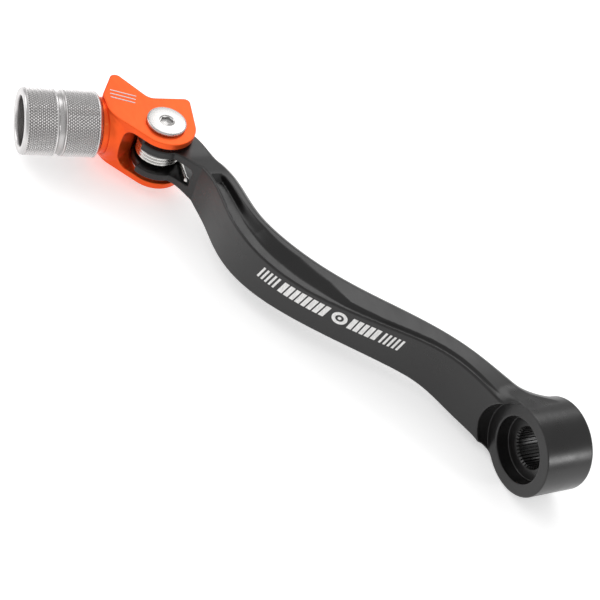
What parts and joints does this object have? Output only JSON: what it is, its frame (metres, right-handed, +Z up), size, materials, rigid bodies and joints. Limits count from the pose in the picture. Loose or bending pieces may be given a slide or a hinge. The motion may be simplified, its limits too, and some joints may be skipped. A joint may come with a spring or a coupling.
{
  "type": "gear shift lever",
  "caption": "Foot gear shift lever for an off-road motorcycle: forged arm with a splined boss, and a sprung folding tip with a revolving knurled toe barrel.",
  "frame": {"origin": "on the spline's axis, in the outboard face of the boss", "axes": "+X to the rear of the machine, +Y inboard along the spline's axis, +Z up along the fold pivot"},
  "size_m": [0.1655, 0.1328, 0.028],
  "materials": {
    "black_anodised": "satin black anodised",
    "orange_anodised": "bright orange anodised",
    "knurled_aluminium": "clear anodised, diamond knurled",
    "plated_steel": "zinc plated",
    "spring_steel": "bright drawn wire",
    "bronze": "machined",
    "nylon": "moulded",
    "seal_rubber": "smooth"
  },
  "bodies": {
    "lever": {"lever_arm": "black_anodised", "boss_end": "black_anodised", "upper_fork_bush": "bronze", "lower_fork_bush": "bronze", "fold_spring": "spring_steel"},
    "tip": {"tip_bracket": "orange_anodised", "pivot_bolt": "plated_steel", "pivot_nut": "plated_steel", "pivot_sleeve": "plated_steel", "upper_thrust_washer": "nylon", "lower_thrust_washer": "nylon", "barrel_axle": "plated_steel", "inner_thrust_washer": "nylon", "outer_thrust_washer": "plated_steel", "wave_washer": "spring_steel", "barrel_o_ring": "seal_rubber"},
    "barrel": {"tip_barrel": "knurled_aluminium", "inner_barrel_bush": "bronze", "outer_barrel_bush": "bronze"}
  },
  "joints": [
    {"name": "tip_fold", "type": "hinge", "parent": "lever", "child": "tip", "pos_m": [-0.1285, -0.0722, 0], "axis": [0, 0, 1], "range_deg": [0, 35], "stiffness_Nm_per_rad": 0.35, "springref_deg": -34.38, "deforming": ["fold_spring"]},
    {"name": "tip_roll", "type": "hinge", "parent": "tip", "child": "barrel", "pos_m": [-0.13995, -0.10262, 0], "axis": [-0.0985, -0.9951, 0], "continuous": true}
  ]
}
